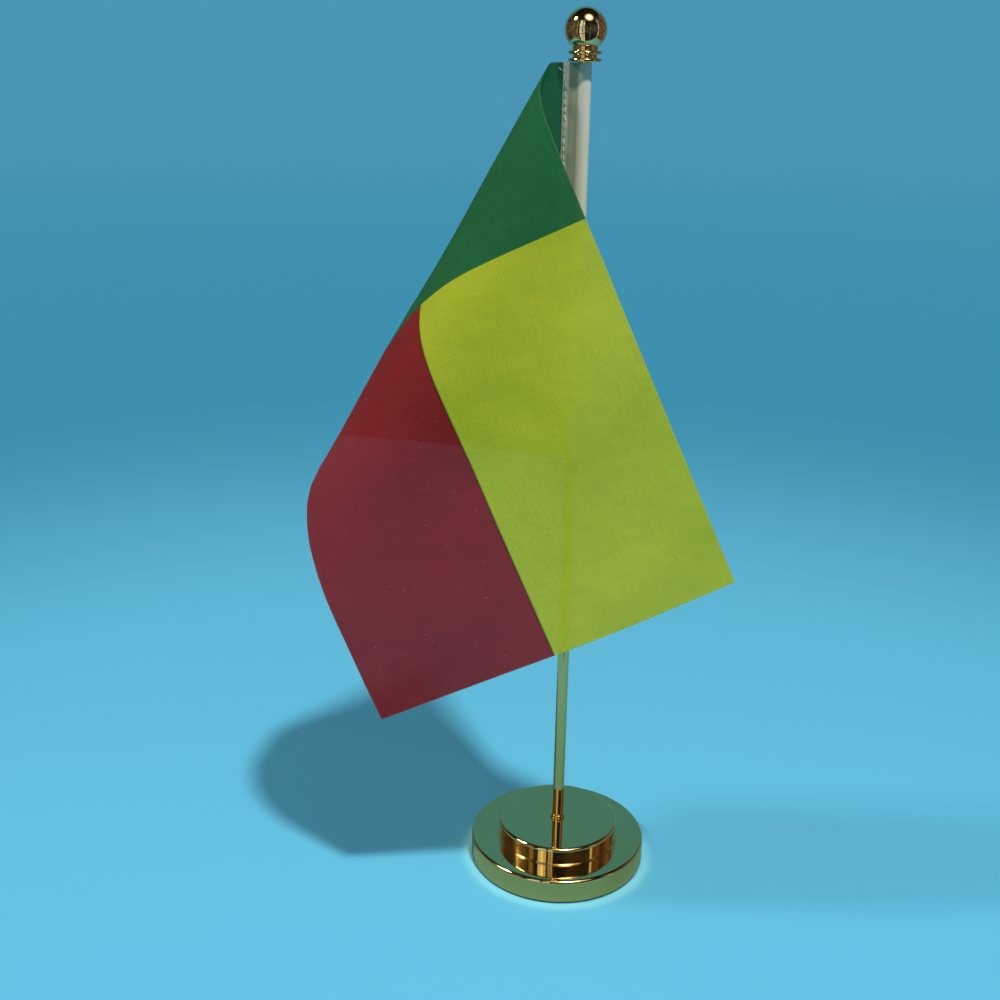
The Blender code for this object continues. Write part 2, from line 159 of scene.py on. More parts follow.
def make_camera():
    forward = Vector((-math.sin(CAMERA_YAW) * math.cos(CAMERA_PITCH),
                      math.cos(CAMERA_YAW) * math.cos(CAMERA_PITCH), -math.sin(CAMERA_PITCH)))
    level = Vector((math.cos(CAMERA_YAW), math.sin(CAMERA_YAW), 0.0))
    upright = level.cross(forward)
    right = level * math.cos(CAMERA_ROLL) + upright * math.sin(CAMERA_ROLL)
    up = upright * math.cos(CAMERA_ROLL) - level * math.sin(CAMERA_ROLL)
    data = bpy.data.cameras.new("camera")
    data.lens = CAMERA_LENS
    data.sensor_width = 36.0
    camera = placed("camera", data)
    turn = Matrix((right, up, -forward)).transposed().to_4x4()
    camera.matrix_world = Matrix.Translation((0.0, -CAMERA_DISTANCE, CAMERA_HEIGHT)) @ turn
    bpy.context.scene.camera = camera


# ---------------------------------------------------------------- node helpers

class Nodes:
    """A short way to write a node tree: add a node with its settings, and link by name."""

    def __init__(self, tree):
        self.tree = tree
        tree.nodes.clear()

    def add(self, kind, inputs=None, **settings):
        node = self.tree.nodes.new("ShaderNode" + kind)
        for name, value in settings.items():
            setattr(node, name, value)
        for name, value in (inputs or {}).items():
            socket = node.inputs[name]
            if isinstance(value, bpy.types.NodeSocket):
                self.tree.links.new(value, socket)
            else:
                socket.default_value = value
        return node

    def maths(self, operation, first, second=0.0):
        return self.add("Math", {0: first, 1: second}, operation=operation).outputs[0]

    def length(self, vector):
        return self.add("VectorMath", {0: vector}, operation="LENGTH").outputs["Value"]

    def mix(self, factor, first, second, blend="MIX"):
        node = self.add("Mix", data_type="RGBA", blend_type=blend)
        for socket, value in ((node.inputs[0], factor), (node.inputs[6], first), (node.inputs[7], second)):
            if isinstance(value, bpy.types.NodeSocket):
                self.tree.links.new(value, socket)
            else:
                socket.default_value = value
        return node.outputs[2]

    def scale(self, value, low, high, new_low, new_high):
        """The value moved from one range to another, and held inside it."""
        node = self.add("MapRange", {"Value": value, "From Min": low, "From Max": high,
                                     "To Min": new_low, "To Max": new_high})
        return node.outputs[0]

    def smooth(self, value, low, high):
        """0 at low and 1 at high, with a soft start and end."""
        node = self.add("MapRange", {"Value": value, "From Min": low, "From Max": high},
                        interpolation_type="SMOOTHSTEP")
        return node.outputs[0]

    def noise(self, vector, scale, detail=3.0, roughness=0.5):
        inputs = {"Vector": vector, "Scale": scale, "Detail": detail, "Roughness": roughness}
        return self.add("TexNoise", inputs).outputs["Fac"]

    def stretch(self, vector, factors):
        return self.add("Mapping", {"Vector": vector, "Scale": factors}).outputs[0]


def new_material(name):
    material = bpy.data.materials.new(name)
    material.use_nodes = True
    nodes = Nodes(material.node_tree)
    place = nodes.add("TexCoord").outputs["Object"]
    return material, nodes, place


def colour(red, green, blue):
    return (red, green, blue, 1.0)


def placed(name, data):
    """A new object in the scene."""
    thing = bpy.data.objects.new(name, data)
    bpy.context.scene.collection.objects.link(thing)
    return thing


# ---------------------------------------------------------------- materials

def solid_surface(nodes, tone, rough, bump, other):
    """Close a material with one shader. other holds the rest of its inputs."""
    shader = nodes.add("BsdfPrincipled", {"Base Color": tone, "Roughness": rough, "Normal": bump, **other})
    nodes.add("OutputMaterial", {"Surface": shader.outputs[0]})


def gold_material(name, tint, grain, relief):
    """Mirror gold plating: faint polishing lines, smudges that dull it, and patches of a deeper tone. grain
    stretches the polishing lines, and relief is how strongly they show."""
    material, nodes, place = new_material(name)
    smudge = nodes.noise(place, 60.0, 4.0, 0.6)
    fine = nodes.noise(nodes.stretch(place, grain), 900.0, 2.0)
    patch = nodes.noise(place, 22.0, 2.0)
    dull = nodes.maths("MULTIPLY", nodes.scale(smudge, 0.45, 0.75, 0.0, 1.0), 0.07)
    rough = nodes.maths("ADD", dull, nodes.scale(fine, 0.3, 0.7, 0.035, 0.065))
    tone = nodes.mix(nodes.scale(patch, 0.35, 0.65, 0.0, 1.0), tint,
                     colour(tint[0] * 0.97, tint[1] * 0.95, tint[2] * 0.90))
    bump = nodes.add("Bump", {"Strength": relief, "Distance": 0.0001, "Height": fine}).outputs[0]
    solid_surface(nodes, tone, rough, bump, {"Metallic": 1.0})
    return material


def metal_material(name, dark, light, grain, rough_low, rough_high, relief):
    """Plain metal of the hidden pieces: mottled colour, tool marks along one direction and uneven gloss."""
    material, nodes, place = new_material(name)
    marks = nodes.noise(nodes.stretch(place, grain), 700.0, 4.0, 0.6)
    cloud = nodes.noise(place, 150.0, 3.0)
    tone = nodes.mix(nodes.scale(cloud, 0.3, 0.7, 0.0, 1.0), dark, light)
    rough = nodes.scale(marks, 0.25, 0.75, rough_low, rough_high)
    bump = nodes.add("Bump", {"Strength": relief, "Distance": 0.0002, "Height": marks}).outputs[0]
    solid_surface(nodes, tone, rough, bump, {"Metallic": 1.0})
    return material


def foam_material():
    """Black closed-cell foam: small round cells and dust."""
    material, nodes, place = new_material("pad_foam")
    cells = nodes.add("TexVoronoi", {"Vector": place, "Scale": 2500.0}).outputs["Distance"]
    dust = nodes.noise(place, 300.0, 5.0, 0.7)
    tone = nodes.mix(nodes.scale(dust, 0.55, 0.8, 0.0, 1.0), colour(0.012, 0.012, 0.013),
                     colour(0.06, 0.06, 0.058))
    bump = nodes.add("Bump", {"Strength": 0.5, "Distance": 0.0002, "Height": cells}).outputs[0]
    solid_surface(nodes, tone, 0.92, bump, {})
    return material


def near(nodes, value, line, width):
    """1 on the line, falling to 0 at the width on both sides."""
    off = nodes.maths("ABSOLUTE", nodes.maths("SUBTRACT", value, line))
    return nodes.scale(off, 0.0, width, 1.0, 0.0)


def weave_height(nodes, across, along, pitch):
    """Height of a plain weave: rounded warp and weft threads that pass over each other in turn."""
    turns = 2 * math.pi / pitch
    warp = nodes.maths("SINE", nodes.maths("MULTIPLY", across, turns))
    weft = nodes.maths("SINE", nodes.maths("MULTIPLY", along, turns))
    over = nodes.maths("MULTIPLY", nodes.maths("SINE", nodes.maths("MULTIPLY", across, turns / 2)),
                       nodes.maths("SINE", nodes.maths("MULTIPLY", along, turns / 2)))
    threads = nodes.maths("ADD", nodes.maths("ABSOLUTE", warp), nodes.maths("ABSOLUTE", weft))
    return nodes.maths("ADD", nodes.maths("MULTIPLY", threads, 0.5), nodes.maths("MULTIPLY", over, 0.5))


def sheer_cloth(nodes, tone, bump, clear, passing, rough):
    """A thin lit fabric: a soft satin face, light through it, and open gaps between the threads."""
    face = nodes.add("BsdfPrincipled", {"Base Color": tone, "Roughness": rough, "Sheen Weight": 0.01,
                                        "Sheen Roughness": 0.5, "Specular IOR Level": 0.08, "Normal": bump})
    through = nodes.add("BsdfTranslucent", {"Color": tone, "Normal": bump})
    lit = nodes.add("MixShader", {"Fac": passing, 1: face.outputs[0], 2: through.outputs[0]})
    gaps = nodes.add("BsdfTransparent", {"Color": colour(1.0, 1.0, 1.0)})
    cloth = nodes.add("MixShader", {"Fac": clear, 1: lit.outputs[0], 2: gaps.outputs[0]})
    nodes.add("OutputMaterial", {"Surface": cloth.outputs[0]})


def flag_material():
    """Printed satin. The UV map holds the flat cloth's own coordinates: along the fly and down the hoist."""
    material, nodes, _ = new_material("printed_satin")
    flat = nodes.add("UVMap", uv_map="flat").outputs[0]
    axes = nodes.add("SeparateXYZ", {0: flat})
    along, down = axes.outputs[0], axes.outputs[1]
    bleed = nodes.maths("MULTIPLY", nodes.maths("SUBTRACT", nodes.noise(flat, 5000.0, 2.0), 0.5), 0.0003)
    past_green = nodes.maths("GREATER_THAN", nodes.maths("ADD", along, bleed), GREEN_WIDTH)
    below_half = nodes.maths("GREATER_THAN", nodes.maths("ADD", down, bleed), HALF_HOIST)
    uneven = nodes.scale(nodes.noise(flat, 35.0, 4.0, 0.6), 0.3, 0.7, 0.0, 1.0)
    green = nodes.mix(uneven, colour(0.030, 0.200, 0.062), colour(0.036, 0.225, 0.072))
    yellow = nodes.mix(uneven, colour(0.780, 0.780, 0.040), colour(0.830, 0.820, 0.050))
    red = nodes.mix(uneven, colour(0.420, 0.026, 0.029), colour(0.460, 0.033, 0.035))
    fly = nodes.mix(below_half, yellow, red)
    ink = nodes.mix(past_green, green, fly)
    overprint = nodes.maths("MULTIPLY", past_green, near(nodes, down, HALF_HOIST, 0.0006))
    ink = nodes.mix(nodes.maths("MULTIPLY", overprint, 0.85), ink, colour(0.075, 0.022, 0.010))
    threads = weave_height(nodes, along, down, 0.00034)
    slubs = nodes.noise(nodes.stretch(flat, (60.0, 1500.0, 1.0)), 1.0, 3.0)
    slubs_across = nodes.noise(nodes.stretch(flat, (1500.0, 60.0, 1.0)), 1.0, 3.0)
    thickness = nodes.maths("MULTIPLY", nodes.maths("ADD", slubs, slubs_across), 0.5)
    mottle = nodes.noise(flat, 1300.0, 2.0, 0.7)
    darker = nodes.mix(1.0, ink, colour(0.80, 0.80, 0.80), "MULTIPLY")
    tone = nodes.mix(nodes.scale(nodes.maths("ADD", thickness, mottle), 0.80, 1.20, 0.0, 0.50), ink, darker)
    fluff = nodes.noise(nodes.stretch(flat, (1500.0, 420.0, 1.0)), 1.0, 1.0)
    tone = nodes.mix(nodes.scale(fluff, 0.765, 0.80, 0.0, 0.30), tone, colour(0.75, 0.75, 0.60))
    hems = nodes.maths("ADD", near(nodes, down, 0.0, 0.00045), near(nodes, down, HOIST, 0.00045))
    # the cloth is drawn paler along its cut edges
    pale_edges = nodes.maths("ADD", near(nodes, along, FLY, 0.00045), hems)
    tone = nodes.mix(nodes.maths("MULTIPLY", pale_edges, 0.22), tone, colour(0.60, 0.66, 0.50))
    crumple = nodes.noise(flat, 330.0, 3.0, 0.6)
    height = nodes.maths("ADD", nodes.maths("MULTIPLY", threads, 0.4),
                         nodes.maths("ADD", thickness, nodes.maths("MULTIPLY", crumple, 1.5)))
    bump = nodes.add("Bump", {"Strength": 0.55, "Distance": 0.00022, "Height": height}).outputs[0]
    sheer_cloth(nodes, tone, bump, 0.03, 0.40, nodes.scale(thickness, 0.35, 0.65, 0.50, 0.70))
    return material


def ribbon_material():
    """Cream satin ribbon: long warp threads along the pole, a slight yellowing, and painted shade over its
    flat part between the pole and the seam."""
    material, nodes, place = new_material("cream_satin")
    warp = nodes.noise(nodes.stretch(place, (3000.0, 3000.0, 25.0)), 1.0, 3.0)
    band = nodes.noise(nodes.stretch(place, (500.0, 500.0, 6.0)), 1.0, 2.0)
    cloud = nodes.noise(place, 40.0, 3.0)
    uneven = nodes.scale(cloud, 0.35, 0.65, 0.0, 1.0)
    cream = nodes.mix(uneven, colour(0.99, 0.87, 0.68), colour(1.00, 0.90, 0.73))
    tone = nodes.mix(nodes.scale(band, 0.4, 0.7, 0.0, 0.25), cream, colour(0.80, 0.70, 0.56))
    # painted shade: away from the pole the ribbon is drawn darker and greener, less so near its edge
    reach = nodes.length(nodes.stretch(place, (1.0, 1.0, 0.0)))
    empty = nodes.scale(reach, POLE_RADIUS + 0.0001, POLE_RADIUS + 0.0005, 0.0, 0.80)
    edge_fade = nodes.scale(reach, SEAM_REACH - SHADE_FADE_INSET - 0.0006, SEAM_REACH - SHADE_FADE_INSET, 1.0, 0.25)
    tone = nodes.mix(nodes.maths("MULTIPLY", empty, edge_fade), tone, colour(0.20, 0.25, 0.14))
    bump = nodes.add("Bump", {"Strength": 0.35, "Distance": 0.0001, "Height": warp}).outputs[0]
    sheer_cloth(nodes, tone, bump, 0.03, 0.05, nodes.scale(warp, 0.3, 0.7, 0.38, 0.55))
    return material


def thread_material():
    """White sewing thread: fine helical plies with painted shade in the grooves between them, and fuzz."""
    material, nodes, place = new_material("white_thread")
    axes = nodes.add("SeparateXYZ", {0: place})
    lean = nodes.maths("ADD", nodes.maths("MULTIPLY", axes.outputs[2], 9000.0),
                       nodes.maths("MULTIPLY", nodes.maths("ADD", axes.outputs[0], axes.outputs[1]), 15000.0))
    ply = nodes.maths("SINE", lean)
    fuzz = nodes.noise(place, 9000.0, 3.0)
    # painted shade: the grooves between the plies are drawn darker
    ply_shade = nodes.scale(ply, -1.0, 1.0, 0.0, 1.0)
    tone = nodes.mix(ply_shade, colour(0.62, 0.64, 0.60), colour(0.84, 0.85, 0.80))
    height = nodes.maths("ADD", ply, fuzz)
    bump = nodes.add("Bump", {"Strength": 0.5, "Distance": 0.00008, "Height": height}).outputs[0]
    solid_surface(nodes, tone, 0.7, bump, {"Sheen Weight": 0.3})
    return material


# ---------------------------------------------------------------- mesh helpers

def finished(name, mesh, material, body, slot, *nodes):
    """Make the object, set its material, tie it to its body, and hide the CAD nodes that it stands for."""
    piece = placed(name, mesh)
    mesh.materials.append(material)
    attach(piece, body)
    if nodes:
        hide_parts(*nodes)
    return piece


def turned(name, profile, steps, material, body, slot, *nodes):
    """Turn a profile of (radius, height) about Z. It runs down the outer side, and closes on itself unless it
    starts on the axis."""
    on_axis = profile[0][0] == 0
    profile = held_flat(profile, on_axis)
    count = len(profile)
    mesh = bmesh.new()
    rings = []
    for radius, height in profile:
        if radius == 0:
            rings.append([mesh.verts.new((0.0, 0.0, height))] * steps)
            continue
        rings.append([mesh.verts.new((radius * math.cos(2 * math.pi * step / steps),
                                      radius * math.sin(2 * math.pi * step / steps), height))
                      for step in range(steps)])
    for index in range(count - 1 if on_axis else count):
        upper, lower = rings[index], rings[(index + 1) % count]
        for step in range(steps):
            after = (step + 1) % steps
            corners = [upper[step], lower[step], lower[after], upper[after]]
            unique = list(dict.fromkeys(corners))
            if len(unique) > 2:
                mesh.faces.new(unique)
    data = bpy.data.meshes.new(name)
    mesh.to_mesh(data)
    mesh.free()
    data.shade_smooth()
    data.set_sharp_from_angle(angle=math.radians(35))
    return finished(name, data, material, body, slot, *nodes)


def held_flat(profile, open_ended):
    """The profile with a point near both ends of each long line, which keeps its smooth shading flat."""
    points = []
    for index, start in enumerate(profile):
        end = profile[(index + 1) % len(profile)]
        points.append(start)
        length = math.dist(start, end)
        if length > 8 * HOLD_DISTANCE and not (open_ended and index == len(profile) - 1):
            for part in (HOLD_DISTANCE / length, 1 - HOLD_DISTANCE / length):
                points.append((start[0] + (end[0] - start[0]) * part, start[1] + (end[1] - start[1]) * part))
    return points


def arc(centre_radius, centre_height, radius, start, end, steps):
    """Points on a circle's arc in the profile plane, angles in degrees from the outward direction."""
    points = []
    for step in range(steps + 1):
        angle = math.radians(start + (end - start) * step / steps)
        points.append((centre_radius + radius * math.cos(angle), centre_height + radius * math.sin(angle)))
    return points


def rounded_ring(inner, outer, bottom, top, edge, steps):
    """The profile of a plain ring or disc with rounded outer edges."""
    return [(inner, top), *arc(outer - edge, top - edge, edge, 90, 0, steps),
            *arc(outer - edge, bottom + edge, edge, 0, -90, steps), (inner, bottom)]


# ---------------------------------------------------------------- metal pieces

def make_tier(name, node, lip=0.0):
    """A pressed shell with a polished rounded rim above, and a turned edge or a flared lip below."""
    radius, bottom, top = node_size(node)
    radius -= lip
    inside = radius - SHELL_WALL
    foot = arc(radius - TURNED_EDGE, bottom + TURNED_EDGE, TURNED_EDGE, 0, -90, 4)
    if lip:
        bottom -= CONTACT
        foot = [*arc(radius + LIP_FILLET, bottom + LIP_HEIGHT + LIP_FILLET, LIP_FILLET, 180, 270, 6),
                *arc(radius + lip, bottom + LIP_HEIGHT / 2, LIP_HEIGHT / 2, 90, -90, 8)[1:]]
    profile = [(BOLT_HOLE, top), *arc(radius - RIM_RADIUS, top - RIM_RADIUS, RIM_RADIUS, 90, 0, 16), *foot,
               (inside, bottom), (inside, top - SHELL_WALL), (BOLT_HOLE, top - SHELL_WALL)]
    turned(name, profile, TURNED_STEPS, gold_disc, "base", "gold_plating", node)


def make_base():
    make_tier("lower_tier", "lower_tier_shell")
    make_tier("upper_tier", "upper_tier_shell", LIP_REACH)

    radius, bottom, top = node_size("foot_nut")
    ring = rounded_ring(BOLT_HOLE, radius, bottom - CONTACT, top, TURNED_EDGE, 8)
    turned("foot_ring", ring, SMALL_STEPS, gold_rod, "base", "gold_plating", "foot_nut")

    radius, bottom, top = node_size("base_pad")
    disc = rounded_ring(0, radius, bottom, top, PAD_EDGE, 4)
    turned("foam_pad", disc, TURNED_STEPS, foam, "base", "pad_foam", "base_pad")


def make_pole():
    radius, bottom, top = node_size("pole_tube")
    tube = rounded_ring(radius - POLE_WALL, radius, bottom - CONTACT, top, POLE_EDGE, 4)
    turned("pole", tube, SMALL_STEPS, gold_rod, "pole", "gold_plating", "pole_tube")


def make_collar():
    """Two round ribs with a deep groove between, a plain neck above and a recess for the pole below."""
    radius, bottom, top = node_size("finial_collar")
    recess_roof = bottom + COLLAR_RECESS_DEPTH
    lower_top = bottom + RIB_HEIGHT
    upper_bottom = lower_top + GROOVE_HEIGHT
    upper_top = upper_bottom + RIB_HEIGHT
    rib_round = RIB_HEIGHT / 2
    groove_centre = GROOVE_RADIUS + COLLAR_FILLET
    profile = [(COLLAR_HOLE, top), (NECK_RADIUS - NECK_EDGE, top + CONTACT), (NECK_RADIUS, top),
               *arc(NECK_RADIUS + COLLAR_FILLET, upper_top + COLLAR_FILLET, COLLAR_FILLET, 180, 270, 5),
               *arc(radius - rib_round, upper_top - rib_round, rib_round, 90, -90, 14),
               *arc(groove_centre, upper_bottom - COLLAR_FILLET, COLLAR_FILLET, 90, 180, 5),
               *arc(groove_centre, lower_top + COLLAR_FILLET, COLLAR_FILLET, 180, 270, 5),
               *arc(radius - rib_round, lower_top - rib_round, rib_round, 90, -90, 14),
               (COLLAR_RECESS_RADIUS, bottom), (COLLAR_RECESS_RADIUS, recess_roof),
               (COLLAR_HOLE, recess_roof)]
    turned("collar", profile, SMALL_STEPS, gold_rod, "finial", "gold_plating", "finial_collar")


def make_ball():
    """The ball, flat where it sits on the collar, with the stud's hole from below."""
    radius, bottom, top = node_size("finial_ball")
    centre = top - radius
    seat_angle = math.degrees(math.asin((centre - bottom) / radius))
    roof = bottom + BALL_HOLE_DEPTH
    profile = [(0, top), *arc(0.0, centre, radius, 90, -seat_angle, 56)[1:],
               (BALL_HOLE, bottom), (BALL_HOLE, roof), (0, roof)]
    turned("ball", profile, BALL_STEPS, gold_ball, "finial", "gold_plating", "finial_ball")


# ---------------------------------------------------------------- flag

def along_seam(reach, side):
    """A point in the XY plane: a reach from the pole's axis along the seam, and a side step to the front."""
    return (-reach * math.cos(SEAM_TURN) - side * math.sin(SEAM_TURN),
            reach * math.sin(SEAM_TURN) - side * math.cos(SEAM_TURN))


def raised_cosine(position):
    """A smooth hump from 0 to 1, with a mean height of 1."""
    return 1 - math.cos(2 * math.pi * min(max(position, 0.0), 1.0))


def bend(angle):
    """How sharply the cloth turns at a flat angle past the crease's start, in radians per radian."""
    front = max(angle - CREASE_SPREAD - SAG_SPREAD / 2, 0.0)
    return (CREASE_TURN / CREASE_SPREAD * raised_cosine(angle / CREASE_SPREAD)
            + SAG_TURN / SAG_SPREAD * raised_cosine((angle - CREASE_SPREAD / 2) / SAG_SPREAD)
            + FRONT_CURL * front)


def cone_table(highest):
    """The unit vector from the apex for flat angles from 0 to highest, and the surface's normal there."""
    down = np.array((0.0, 0.0, -1.0))
    away = np.array((*along_seam(1.0, 0), 0.0))
    turn = np.array((down, away, np.cross(down, away)))
    count = int(highest / BEND_STEP) + 2
    angles = np.arange(count) * BEND_STEP
    directions = [turn[0].copy()]
    normals = [turn[2].copy()]
    for angle in angles[:-1]:
        past_crease = angle + BEND_STEP / 2 - CREASE_START
        curve = -bend(past_crease) if past_crease > 0 else 0.0
        spin = math.hypot(1.0, curve)
        axis = (curve * turn[0] + turn[2]) / spin
        step = spin * BEND_STEP
        turn = (turn * math.cos(step) + np.cross(axis, turn) * math.sin(step)
                + np.outer(turn @ axis, axis) * (1 - math.cos(step)))
        directions.append(turn[0].copy())
        normals.append(turn[2].copy())
    return angles, np.array(directions), np.array(normals)


def make_cloth():
    """The printed cloth: the fold's smooth cone with slack waves and small creases laid over it."""
    across = np.linspace(-SEAM_COVER, FLY, int((FLY + SEAM_COVER) / CLOTH_STEP) + 1)
    down = np.linspace(0.0, HOIST, int(HOIST / CLOTH_STEP) + 1)
    along, drop = np.meshgrid(across, down, indexing="ij")
    angle = np.arctan2(along + APEX_BACK, drop + APEX_UP)
    reach = np.hypot(along + APEX_BACK, drop + APEX_UP)
    angles, directions, normals = cone_table(angle.max())
    seam = np.array((*along_seam(SEAM_REACH, 0), POCKET_TOP))
    away = np.array((*along_seam(1.0, 0), 0.0))
    apex = seam - APEX_BACK * away + np.array((0.0, 0.0, APEX_UP))
    toward = np.stack([np.interp(angle, angles, directions[:, axis]) for axis in range(3)], -1)
    toward /= np.linalg.norm(toward, axis=-1, keepdims=True)
    normal = np.stack([np.interp(angle, angles, normals[:, axis]) for axis in range(3)], -1)
    normal /= np.linalg.norm(normal, axis=-1, keepdims=True)
    relief = cloth_relief(along, drop)
    points = apex + reach[..., None] * toward + relief[..., None] * normal

    mesh = bpy.data.meshes.new("flag_sheet")
    rows, columns = along.shape
    index = np.arange(rows * columns).reshape(rows, columns)
    faces = np.stack([index[:-1, :-1], index[:-1, 1:], index[1:, 1:], index[1:, :-1]], -1).reshape(-1, 4)
    mesh.from_pydata(points.reshape(-1, 3).tolist(), [], faces.tolist())
    flat = mesh.uv_layers.new(name="flat")
    corners = np.array([loop.vertex_index for loop in mesh.loops])
    flat_points = np.stack([along.ravel(), drop.ravel()], -1)[corners]
    flat.data.foreach_set("uv", flat_points.ravel())
    mesh.shade_smooth()
    sheet = finished("flag_sheet", mesh, printed_satin, "flag", "printed_satin", "flag_cloth")


def cloth_relief(along, drop):
    """Distance of the cloth from the smooth cone: slack waves that grow away from the seam, soft creases, and
    the hem's bulge at the fold."""
    free = np.clip(along / FREE_FROM_SEAM, 0.0, 1.0) ** 2
    waves = np.zeros_like(along)
    for rise, fly_turns, hoist_turns, start in CLOTH_WAVES:
        waves += rise * np.sin(2 * math.pi * (along * fly_turns + drop * hoist_turns) + start)
    small = np.zeros_like(along)
    for row in range(along.shape[0]):
        for column in range(along.shape[1]):
            spot = Vector((along[row, column] * CREASE_DENSITY, drop[row, column] * CREASE_DENSITY, 3.0))
            small[row, column] = noise.noise(spot) + 0.5 * noise.noise(spot * 2.7)
    off_centre = ((along - BELLY_ALONG) / BELLY_WIDTH) ** 2 + ((HOIST - drop) / BELLY_HEIGHT) ** 2
    belly = BELLY_RISE * np.exp(-off_centre)
    return free * (waves + CREASE_RISE * small) + belly


def pocket_path(steps):
    """The ribbon's middle line seen from above: front edge, round the pole, back edge."""
    wrap_radius = POLE_RADIUS + RIBBON_OFF_POLE
    distance = math.hypot(SEAM_REACH, RIBBON_HALF_GAP)
    start = math.pi - math.atan2(RIBBON_HALF_GAP, SEAM_REACH) - math.acos(wrap_radius / distance)
    tangent = (wrap_radius * math.cos(start), wrap_radius * math.sin(start))
    straight = 10
    path = []
    for step in range(straight):
        part = step / straight
        path.append((-SEAM_REACH + (tangent[0] + SEAM_REACH) * part,
                     RIBBON_HALF_GAP + (tangent[1] - RIBBON_HALF_GAP) * part))
    for step in range(steps + 1):
        angle = start - 2 * start * step / steps
        path.append((wrap_radius * math.cos(angle), wrap_radius * math.sin(angle)))
    path += [(x, -side) for x, side in reversed(path[:straight])]
    return path


def make_pocket():
    """The ribbon folded round the pole, a little loose between the pole and the seam."""
    path = pocket_path(40)
    levels = 120
    mesh = bmesh.new()
    rows = []
    for level in range(levels + 1):
        height = POCKET_TOP - HOIST * level / levels
        row = []
        for x, side in path:
            slack = min(max(-x - POLE_RADIUS, 0.0), SEAM_REACH + x) / SLACK_REACH
            wave = sum(rise * math.sin(height * up + x * across) for rise, up, across in RIBBON_WAVES)
            puff = max(slack, 0.0) * (wave - RIBBON_SAG)
            row.append(mesh.verts.new((*along_seam(-x, side + math.copysign(puff, side)), height)))
        rows.append(row)
    for upper, lower in zip(rows, rows[1:]):
        for column in range(len(path) - 1):
            mesh.faces.new((upper[column], lower[column], lower[column + 1], upper[column + 1]))
    data = bpy.data.meshes.new("pocket_ribbon")
    mesh.to_mesh(data)
    mesh.free()
    data.shade_smooth()
    ribbon = finished("pocket_ribbon", data, cream_satin, "flag", "cream_satin", "pocket")


def make_thread(name, points, radius, body, *nodes):
    """A sewing thread along a smooth line of points, as a closed tube."""
    curve = bpy.data.curves.new(name, "CURVE")
    curve.dimensions = "3D"
    curve.bevel_depth = radius
    curve.bevel_resolution = 3
    curve.use_fill_caps = True
    line = curve.splines.new("POLY")
    line.points.add(len(points) - 1)
    for point, at in zip(line.points, points):
        point.co = (*at, 1.0)
    piece = placed(name, curve)
    mesh = bpy.data.meshes.new_from_object(piece.evaluated_get(bpy.context.evaluated_depsgraph_get()))
    bpy.data.objects.remove(piece)
    welded = bmesh.new()
    welded.from_mesh(mesh)
    bmesh.ops.remove_doubles(welded, verts=welded.verts, dist=0.000002)
    welded.to_mesh(mesh)
    welded.free()
    mesh.shade_smooth()
    finished(name, mesh, white_thread, body, "white_thread", *nodes)


def make_stitches():
    """Lockstitch down the seam: each stitch lies on the ribbon and dips into it at both ends."""
    height_step = STITCH_PITCH / 14
    surface = RIBBON_HALF_GAP + STITCH_INSET * RIBBON_SPREAD
    for name, sign, node in (("needle_stitches", 1, "needle_thread"),
                             ("bobbin_stitches", -1, "bobbin_thread")):
        points = []
        height = POCKET_TOP - STITCH_END
        while height > POCKET_TOP - HOIST + STITCH_END:
            phase = math.cos(2 * math.pi * (POCKET_TOP - height) / STITCH_PITCH)
            lift = STITCH_LIFT * min(max(phase * 2.2 + 0.9, -1.0), 1.0)    # a long flat top and a short dip
            reach = SEAM_REACH - STITCH_INSET + STITCH_WANDER * math.sin(height * 420.0)
            points.append((*along_seam(reach, sign * (surface + lift)), height))
            height -= height_step
        make_thread(name, points, STITCH_RADIUS, "flag", node)


def make_tie():
    """The loop that holds the pocket up, and its cut end beside the seam."""
    radius, bottom, top = node_size("tie_thread")
    middle = radius - (top - bottom) / 2
    height = (bottom + top) / 2
    points = []
    steps = 72
    for step in range(steps + 1):
        angle = 2 * math.pi * step / steps * 1.02    # the ends overlap a little
        rise = TIE_WANDER * math.sin(3 * angle)
        points.append((middle * math.cos(angle), middle * math.sin(angle), height + rise))
    make_thread("tie_loop", points, TIE_RADIUS, "tie", "tie_thread")
    tail = []
    for step in range(9):
        part = step / 8
        reach = SEAM_REACH - THREAD_END_INSET + THREAD_END_LENGTH * part
        side = THREAD_END_SIDE + THREAD_END_BOW * math.sin(math.pi * part)
        tail.append((*along_seam(reach, side), POCKET_TOP - THREAD_END_DROP + THREAD_END_RISE * part))
    make_thread("thread_end", tail, THREAD_END_RADIUS, "flag")


# ---------------------------------------------------------------- stage

FLOOR_HALF = 9.0
FLOOR_DROP = 0.00002         # keeps the paper out of the plane of the pad's underside
PAPER_ENDS = (0.27, 0.76)    # distances over which the paper turns into the backdrop
BACKDROP_BRIGHTENS = (0.9, 4.0)
RING_GROWS = (0.0412, 0.0368)    # distances over which the ring of light round the base sets in

PAPER = colour(0.133, 0.550, 0.800)
NEAR_PAPER_IN_METAL = colour(0.117, 0.320, 0.310)
FAR_PAPER_IN_METAL = colour(0.140, 0.420, 0.520)
BACKDROP_DARK = colour(0.048, 0.279, 0.423)
BACKDROP = colour(0.069, 0.300, 0.456)
BACKDROP_IN_METAL = colour(0.066, 0.250, 0.325)
ROOM_DARK = colour(0.012, 0.009, 0.006)      # what metal sees overhead
ROOM_LOW = colour(0.150, 0.150, 0.125)       # mixed in towards the horizon
ROOM_LIGHT = colour(0.108, 0.136, 0.150)     # the even light that falls on the object
RING_LIGHT = colour(0.125, 0.190, 0.095)


